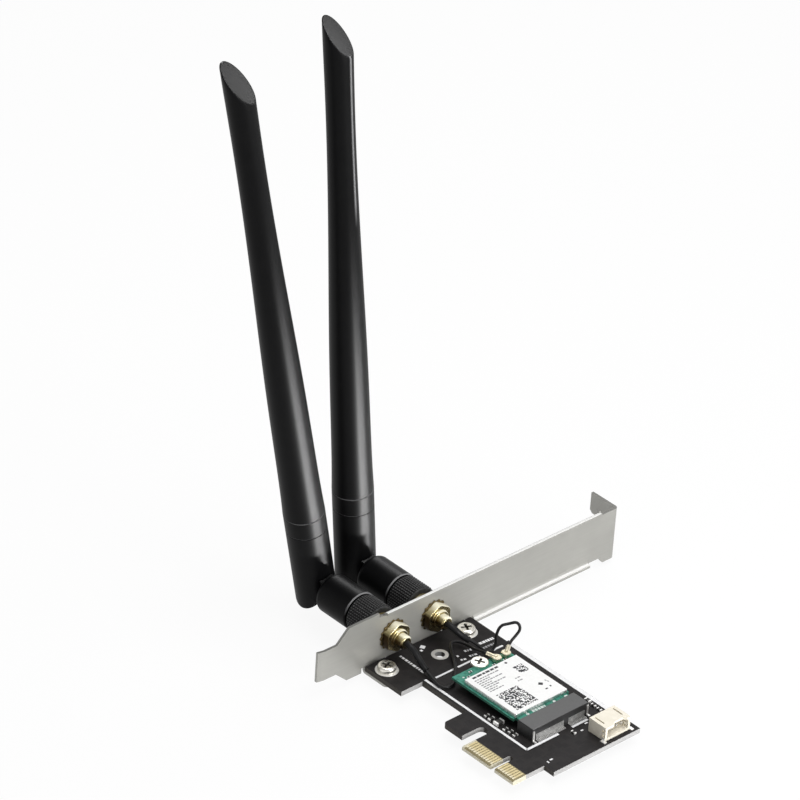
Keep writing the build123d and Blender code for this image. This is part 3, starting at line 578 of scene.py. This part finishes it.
def whip(side):
    """Whip sleeve: radius as a function of height, turned round the whip's own line. Above the
    groove the radius follows one smooth polynomial through the taper's measures; near the tip
    each height slides up one side and down the other, by slope times radius times the cosine of
    the turn, and the rim goes over a quarter round into the slanted cap, which is crowned by the
    crown times one less the squared share of its radius."""
    turn = np.linspace(0, 2 * np.pi, 96, endpoint=False)
    tip_height, slope = tip_cut[side]
    way, rim, crown, end_radius = radians(209.0), 0.4, 0.12, 4.26
    taper_start, full_radius = 28.1, 6.25
    foot = np.array([21.52, 21.56, 21.75, 21.85, 24.5, 27.3, 27.5, 27.58, 27.7, 27.82, 27.9, 28.1])
    foot_radius = np.array([5.85, 6.05, 6.25, 6.25, 6.25, 6.25, 6.25, 6.15, 5.95, 6.15, 6.25, 6.25])
    taper = ((28.1, 6.25), (45.0, 5.89), (62.0, 5.72), (80.0, 5.47), (97.0, 5.12), (114.0, 4.68),
             (131.0, 4.33), (150.0, 4.15), (165.0, 4.11), (175.0, 4.16), (190.0, 4.40))
    smooth = np.polynomial.Polynomial.fit(*np.transpose(taper), 6)
    fade = np.linspace(0, 1, 60)
    lift = np.cos(turn - way)
    top = tip_height + slope * end_radius * lift - rim
    height = taper_start + (top[None, :] - taper_start) * fade[:, None]
    share = (fade ** 12)[:, None]
    radius = np.minimum(smooth(height), full_radius) * (1 - share) + end_radius * share
    low = np.broadcast_to(foot[:, None], (len(foot), len(turn)))
    low_radius = np.broadcast_to(foot_radius[:, None], low.shape)
    bend = np.linspace(0, np.pi / 2, 7)[1:]
    rim_radius = end_radius - rim * (1 - np.cos(bend))[:, None] + 0 * lift
    rim_height = tip_height + slope * rim_radius * lift - rim + rim * np.sin(bend)[:, None]
    cap_radius = np.linspace(end_radius - rim, 0.02, 9)[1:, None] + 0 * lift
    cap_height = tip_height + slope * cap_radius * lift
    cap_height = cap_height + crown * (1 - (cap_radius / (end_radius - rim)) ** 2)
    radius = np.concatenate([low_radius, radius[1:], rim_radius, cap_radius])
    height = np.concatenate([low, height[1:], rim_height, cap_height])
    points = np.stack([hinge_x + radius * np.cos(turn), radius * np.sin(turn), height], axis=-1)
    rows, columns = radius.shape
    faces = grid_faces(rows, columns).tolist()
    faces.append(list(range(columns - 1, -1, -1)))
    faces.append([(rows - 1) * columns + i for i in range(columns)])
    thing = lay("whip_sleeve_" + side, on_antenna(points, side), faces, sharp=50)
    # Painted highlights: pale rows at the foot edge and the groove, and a pale line down the upper whip.
    seam = np.zeros(radius.shape)
    foot_edge, groove = slice(1, 3), slice(7, 10)
    seam[foot_edge] = 0.7
    seam[groove] = 0.7
    line_width, line_start, line_fade = radians(4.0), 122.0, 8.0
    apart = np.abs((turn - highlight_line_turn[side] + np.pi) % (2 * np.pi) - np.pi)
    line = np.clip(1.6 - apart / line_width, 0, 1) * np.clip((height - line_start) / line_fade, 0, 1)
    seam += line * (radius > end_radius - 0.3)
    return mark_points(thing, "seam", seam)


def collar(side):
    """Collar: a closed outline of distance along the jack and radius, turned round the jack's
    axis. Between its two chamfered ends stand forty-eight ribs, flat-topped waves round the turn;
    each rib rises and falls along its length, a rise beside its neighbour's fall, which gives
    the grip its small diamonds."""
    near, far, ribs = -64.41, -72.61, 48
    grip_radius, rib_height, diamond_length = 5.85, 0.3, 0.85
    turn = np.linspace(0, 2 * np.pi, ribs * 8, endpoint=False)
    grip = np.linspace(near - 0.4, far + 0.4, 75)
    front = [(near - 0.55, 4.0), (near - 0.1, 4.0), (near, 4.1), (near, 5.5), (near - 0.06, 5.62),
             (near - 0.3, 5.82)]
    back = [(far + 0.3, 5.82), (far + 0.06, 5.62), (far, 5.5), (far, 3.3), (far + 0.1, 3.2),
            (far + 1.15, 3.2), (far + 1.15, 4.3), (near - 5.35, 4.3), (near - 5.35, 4.6),
            (near - 0.55, 4.6)]
    outline = np.concatenate([front, np.column_stack([grip, np.full(grip.shape, grip_radius)]), back])
    ribbed = np.zeros((len(outline), 1))
    row = np.arange(len(grip))
    ribbed[len(front):len(front) + len(grip), 0] = np.clip(np.minimum(row, row[::-1]) / 3 + 0.3, 0, 1)
    wave = (np.tanh(2.2 * np.cos(ribs * turn)) / np.tanh(2.2) + 1) / 2
    rise = 0.7 + 0.3 * np.cos(2 * np.pi * outline[:, :1] / diamond_length) * np.cos(ribs // 2 * turn)
    radius = outline[:, 1:] + rib_height * ribbed * wave * rise
    along = np.broadcast_to(outline[:, :1], radius.shape)
    points = np.stack([along, radius * np.cos(turn), radius * np.sin(turn)], axis=-1)
    points = np.concatenate([points, points[:1]])
    faces = grid_faces(len(points), len(turn))
    thing = lay("knurled_collar_" + side, on_antenna(points, side), faces, sharp=60)
    # Painted highlight: the rib crests and the front chamfer are marked to be painted pale.
    top = ribbed * wave ** 2 * np.clip((rise - 0.5) / 0.5, 0, 1)
    front_chamfer = slice(3, 6)
    top[front_chamfer] = 0.75
    return mark_points(thing, "rib", np.concatenate([top, top[:1]]))


for side in sides:
    dress(whip(side), "whip_" + side, "antenna_black", black_plastic, "paddle_sleeve_" + side)
    dress(collar(side), "collar_" + side, "antenna_black", knurl_plastic, "antenna_collar_" + side)
    dress(shell_of("paddle_base_" + side, "whip_fork_" + side, 0.18), "whip_" + side, "antenna_black",
          black_plastic, "paddle_base_" + side)
    dress(shell_of("elbow_" + side, "swivel_elbow_" + side, 0.18), "elbow_" + side, "antenna_black",
          elbow_plastic, "elbow_" + side)
    for part, edge in (("jack_body", 0.12), ("jack_washer", 0.06), ("jack_nut", 0.12), ("ferrule", 0.06)):
        name = part + "_" + side
        dress(shell_of(name, "rounded_" + name, edge), "card", "jack_gold", for_nodes[part], name)


# ---------------------------------------------------------------- bracket, screws and housings

def with_recess(thing, floor):
    """Marks the points of a screw's cross recess, which lie at its floor, for painted shade."""
    points = np.empty(3 * len(thing.data.vertices))
    thing.data.vertices.foreach_get("co", points)
    near_floor = 0.02
    return mark_points(thing, "recess", np.abs(points[2::3] * 1000 - floor) < near_floor)


dress(shell_of("bracket", "folded_bracket", 0.16), "card", "bracket_steel", steel, "bracket")
for name, piece, edge in (("bracket_screws", "pan_head_screws", 0.08),
                          ("module_screw", "low_head_screw", 0.06)):
    screws = with_recess(shell_of(name, piece, edge), recess_floor[piece])
    dress(screws, "card", "screw_steel", screw_steel, name)
dress(shell_of("header_housing", "header_shell", 0.12), "card", "header_ivory", ivory, "header_housing")
dress(shell_of("socket_housing", "socket_shell", 0.1), "card", "socket_dark", socket_plastic,
      "socket_housing")
dress(shell_of("module_shield", "shield_can", 0.12), "card", "shield_tin", shield_tin, "module_shield")


# ---------------------------------------------------------------- legends and small parts

def dashes(start, end, across, long, gap, draw):
    """Row of dashes between two places: each length is the given one times a drawn share, and
    the row stops where the next would pass its end."""
    start, end = np.asarray(start, float), np.asarray(end, float)
    reach = np.linalg.norm(end - start)
    way = (end - start) / reach
    lengths = long * draw.uniform(0.55, 1.45, int(2 * reach / long) + 2)
    ends = np.cumsum(lengths + gap) - gap
    kept = ends <= reach
    middles = start + (ends - lengths / 2)[kept, None] * way
    turn = np.full(kept.sum(), np.degrees(np.arctan2(way[1], way[0])))
    return np.column_stack([middles, lengths[kept], np.full(kept.sum(), across), turn])


def block_field(corner, cells, cell, draw):
    """Field of small squares, a little over half of its cells filled by chance."""
    row, column = np.nonzero(draw.random(cells) < 0.56)
    return np.column_stack([corner[0] + (row + 0.5) * cell, corner[1] + (column + 0.5) * cell,
                            np.full(len(row), 0.98 * cell), np.full(len(row), 0.98 * cell),
                            np.zeros(len(row))])


def stacked(parts):
    """One array of all the rows in a list of arrays and lists."""
    return np.concatenate([np.atleast_2d(np.asarray(part, float)) for part in parts])


def printed(name, parts, low, thick):
    """Plates of one thickness from rows of centre, length, width and turn."""
    rows = stacked(parts)
    levels = np.broadcast_to((low, low + thick), (len(rows), 2))
    return plates(name, np.column_stack([rows, levels]))


draw = np.random.default_rng(11)
board_lines = [(-21.5, 13.5, 43.0, 0.85, 0), (0.0, 19.7, 0.85, 12.4, 0), (0.0, 34.4, 0.85, 6.2, 0),
               (-41.8, 20.4, 0.7, 7.6, 0), (-41.8, 29.85, 0.7, 9.1, 0), (-41.8, 40.25, 0.7, 6.1, 0),
               (-18.0, 45.7, 46.0, 1.4, 0), (-55.6, 24.0, 1.5, 1.5, 30), (-54.5, 22.5, 0.8, 0.8, 0),
               (8.0, 14.2, 0.9, 0.5, 0), (7.6, 15.8, 0.5, 1.1, 0), (1.1, 35.9, 0.5, 1.2, 0),
               (2.9, 32.5, 0.5, 0.9, 0)]
board_marks = [board_lines, dashes((-56.3, 15.7), (-44.7, 15.6), 0.8, 0.95, 0.35, draw),
               dashes((-46.7, 37.6), (-46.2, 44.6), 1.0, 0.75, 0.22, draw),
               dashes((-45.9, 28.7), (-45.9, 29.9), 0.8, 0.8, 0.3, draw),
               dashes((-43.9, 28.4), (-43.3, 30.4), 0.7, 0.7, 0.3, draw),
               dashes((-46.6, 32.3), (-45.8, 34.9), 0.9, 0.8, 0.3, draw),
               dashes((-43.8, 31.8), (-43.2, 34.8), 0.8, 0.8, 0.3, draw)]
dress(printed("board_legend", board_marks, board_top, 0.03), "card", "board_black", silk)
thin_marks = [dashes((-44.3, 37.8), (-44.1, 43.4), 0.8, 0.6, 0.3, draw)]
dress(printed("board_legend_thin", thin_marks, board_top, 0.03), "card", "board_black", thin_silk)
module_marks = [[(-9.3, 22.3, 0.9, 0.9, 45), (-9.1, 32.6, 0.9, 0.9, 0), (-8.9, 37.1, 0.8, 1.1, 0),
                 (-33.7, 19.8, 0.6, 0.6, 45)],
                dashes((-9.45, 24.2), (-9.05, 29.6), 1.05, 0.7, 0.25, draw)]
dress(printed("module_legend", module_marks, module_top, 0.02), "card", "module_green", green_silk)

label_corner = (-31.45, 18.05)
bold = [block_field((11.25, 1.85), (25, 23), 0.36, draw), block_field((4.05, 15.2), (10, 9), 0.37, draw),
        [(1.2, 15.2, 0.75, 0.75, 45), (14.9, 16.1, 1.3, 1.2, 45), (17.4, 17.7, 0.6, 0.5, 0),
         (17.7, 15.9, 0.5, 0.9, 0)],
        dashes((1.1, 2.1), (1.1, 12.2), 0.75, 1.3, 0.3, draw)]
thin = [dashes((2.5 + 0.92 * i, 1.7), (2.5 + 0.92 * i, stop), 0.42, 0.9, 0.28, draw)
        for i, stop in enumerate((11.0, 7.6, 10.8, 6.9, 10.9, 7.4, 6.2, 7.7))]
thin += [dashes((8.6, 12.0), (8.6, 14.6), 0.4, 0.8, 0.25, draw),
         dashes((10.0, 11.8), (10.0, 14.0), 0.4, 0.8, 0.25, draw),
         dashes((14.2, 18.3), (15.8, 18.9), 0.35, 0.5, 0.2, draw)]
for name, parts, colour in (("label_print", bold, ink), ("label_print_thin", thin, faint_ink)):
    rows = stacked(parts)
    rows[:, :2] += label_corner
    dress(printed(name, [rows], label_top, 0.015), "card", "label_white", colour)


def parts_row(name, rows, low):
    """Small box parts with a raised cap over each end, from rows of centre, sizes along X and Y
    and height: the body is a plate, and each cap is a plate a fifth of the longer size, a
    little larger all round."""
    x, y, wide, deep, tall = np.transpose(rows)
    turn = np.where(wide >= deep, 0.0, 90.0)
    long, short = np.maximum(wide, deep), np.minimum(wide, deep)
    base = np.full(len(x), low)
    bodies = np.column_stack([x, y, 0.7 * long, 0.94 * short, turn, base, base + 0.94 * tall])
    shift = 0.4 * long
    ends = [np.column_stack([x + way * shift * (turn == 0), y + way * shift * (turn > 0), 0.2 * long,
                             short, turn, base, base + tall]) for way in (-1, 1)]
    return plates(name + "_bodies", bodies), plates(name + "_caps", np.concatenate(ends))


board_parts = [(-18.8, 15.4, 0.85, 1.6, 0.55), (-16.8, 15.3, 1.0, 2.0, 0.7), (-14.0, 15.6, 1.8, 2.8, 1.1),
               (-10.7, 15.1, 0.85, 1.6, 0.55), (-8.9, 15.5, 0.85, 1.6, 0.55), (-6.9, 15.4, 0.85, 1.6, 0.55),
               (-6.3, 43.7, 2.0, 1.2, 0.7), (-3.6, 43.4, 1.6, 0.85, 0.55), (-1.1, 43.3, 1.6, 0.85, 0.55),
               (2.4, 29.6, 1.6, 0.85, 0.55)]
bodies, caps = parts_row("board_parts", board_parts, board_top)
dress(bodies, "card", "chip_dark", epoxy, "board_chips")
dress(caps, "card", "lead_tin", tin)
module_parts = [(-35.9 + x, 28.25 + y, 0.6, 1.0, 0.45)
                for x, y in ((3.2, 2.6), (3.3, 6.9), (1.6, -5.2), (3.2, -7.4))]
bodies, caps = parts_row("module_parts", module_parts, module_top)
dress(bodies, "card", "chip_dark", epoxy, "module_chips")
dress(caps, "card", "lead_tin", tin)


# ---------------------------------------------------------------- stage and light

def stage():
    """Large level floor, white to the camera and in reflections, with part of its own shading
    kept so that the object's shadow shows."""
    reach, level = 3000.0, -3.9
    corners = [(-reach, -reach, level), (reach, -reach, level), (reach, reach, level),
               (-reach, reach, level)]
    floor = lay("floor", corners, [(0, 1, 2, 3)], smooth=False)
    material, tree, shader, place = blank("white floor")
    tree.links.new(tinted(tree, grain(tree, place, 300.0), (0.90, 0.90, 0.90), (0.92, 0.92, 0.92)),
                   shader.inputs["Base Color"])
    shader.inputs["Roughness"].default_value = 0.9
    shader.inputs["Specular IOR Level"].default_value = 0.0
    glow = node(tree, "Emission", Color=(1, 1, 1, 1), Strength=1.0)
    share = times(tree, seen_rays(tree), 0.92)
    mixed = node(tree, "MixShader", Fac=share, i1=shader.outputs[0], i2=glow.outputs[0])
    tree.links.new(mixed.outputs[0], tree.nodes["Material Output"].inputs["Surface"])
    floor.data.materials.append(material)


def sky():
    """Pale surroundings: white near the level where they are seen or mirrored, darker overhead,
    and dimmer as light on the object."""
    world = bpy.data.worlds.new("studio")
    bpy.context.scene.world = world
    world.use_nodes = True
    tree = world.node_tree
    as_light = 0.36
    way = node(tree, "SeparateXYZ", Vector=tree.nodes.new("ShaderNodeTexCoord").outputs["Generated"])
    wall = node(tree, "MapRange", Value=way.outputs[2])
    for name, value in (("From Min", 0.15), ("From Max", 0.6), ("To Min", 1.0), ("To Max", 0.5)):
        wall.inputs[name].default_value = value
    bright = times(tree, seen_rays(tree), times(tree, wall.outputs[0], -as_light, "ADD"))
    ground = tree.nodes["Background"]
    ground.inputs["Color"].default_value = (1, 1, 1, 1)
    tree.links.new(times(tree, bright, as_light, "ADD"), ground.inputs["Strength"])


def lamp(name, kind, power, place, aim):
    """Lamp of a kind at a place in millimetres, turned to face another."""
    light = bpy.data.lights.new(name, kind)
    light.energy = power
    thing = bpy.data.objects.new(name, light)
    bpy.context.collection.objects.link(thing)
    place, aim = np.asarray(place, float) / 1000, np.asarray(aim, float) / 1000
    back = (place - aim) / np.linalg.norm(place - aim)
    over = np.cross((0.0, 0.0, 1.0), back)
    over = over / np.linalg.norm(over)
    turn = Matrix((over, np.cross(back, over), back)).transposed().to_4x4()
    thing.matrix_world = Matrix.Translation(place) @ turn
    return thing


def softbox(name, place, aim, size, power):
    """Soft square lamp."""
    thing = lamp(name, "AREA", power, place, aim)
    thing.data.size = size / 1000
    return thing


def spot(name, place, aim, size, power, beam):
    """Lamp with a beam of the given angle that fades towards its edge."""
    thing = lamp(name, "SPOT", power, place, aim)
    thing.data.shadow_soft_size = size / 2000
    thing.data.spot_size = radians(beam)
    thing.data.spot_blend = 0.8
    return thing


def whip_beam(way, power):
    """Low lamp round the whips, a turn in degrees from +X, that draws their long highlight."""
    x, y, reach = -93, 22, 486
    place = (x + reach * np.cos(radians(way)), y + reach * np.sin(radians(way)), -250)
    return spot("whip beam " + str(way), place, (x, y, -20), 40, power, 25.0)


def pieces_named(*starts):
    """Meshes whose names start with one of the given words."""
    return [thing for thing in bpy.data.objects
            if thing.type == "MESH" and thing.name.startswith(starts)]


def gloss_for(things, shading, *lamps):
    """Keeps lamps to the gloss of the named pieces, shaded by the others named, so that they
    light nothing else."""
    groups = []
    for name, members in (("glossed pieces", things), ("shading pieces", shading)):
        group = bpy.data.collections.new(name)
        for thing in members:
            group.objects.link(thing)
        groups.append(group)
    for thing in lamps:
        thing.light_linking.receiver_collection, thing.light_linking.blocker_collection = groups
        thing.visible_diffuse = False
        thing.visible_camera = False


stage()
sky()
softbox("key softbox", (90, 80, 690), (-40, 30, 10), 420, 2.3)
softbox("back softbox", (-330, 330, 560), (-40, 30, 10), 380, 1.0)
softbox("right fill", (400, 90, 110), (-20, 30, 10), 200, 1.6)

# Lamps that draw the highlights of single pieces
whips = pieces_named("whip_")
elbows = pieces_named("swivel_elbow_")
collars = pieces_named("knurled_collar_")
metals = pieces_named("rounded_", "pan_head_", "low_head_")
beams = [whip_beam(way, power) for way, power in ((12, 46.0), (36, 23.0), (60, 5.0))]
tip_beam = spot("tip beam", (50, 505, 332), (-93, -7, 194), 60, 7.0, 10.0)
gloss_for(whips, whips + elbows, *beams, tip_beam)
elbow_box = softbox("elbow softbox", (-445, 376, 332), (-80, 22, 14), 150, 1.3)
gloss_for(elbows + collars, elbows, elbow_box)
brass_box = softbox("brass softbox", (-459, 110, 515), (-56, 22, 8), 420, 3.0)
gloss_for(metals, metals, brass_box)

bpy.context.scene.view_settings.view_transform = "Standard"
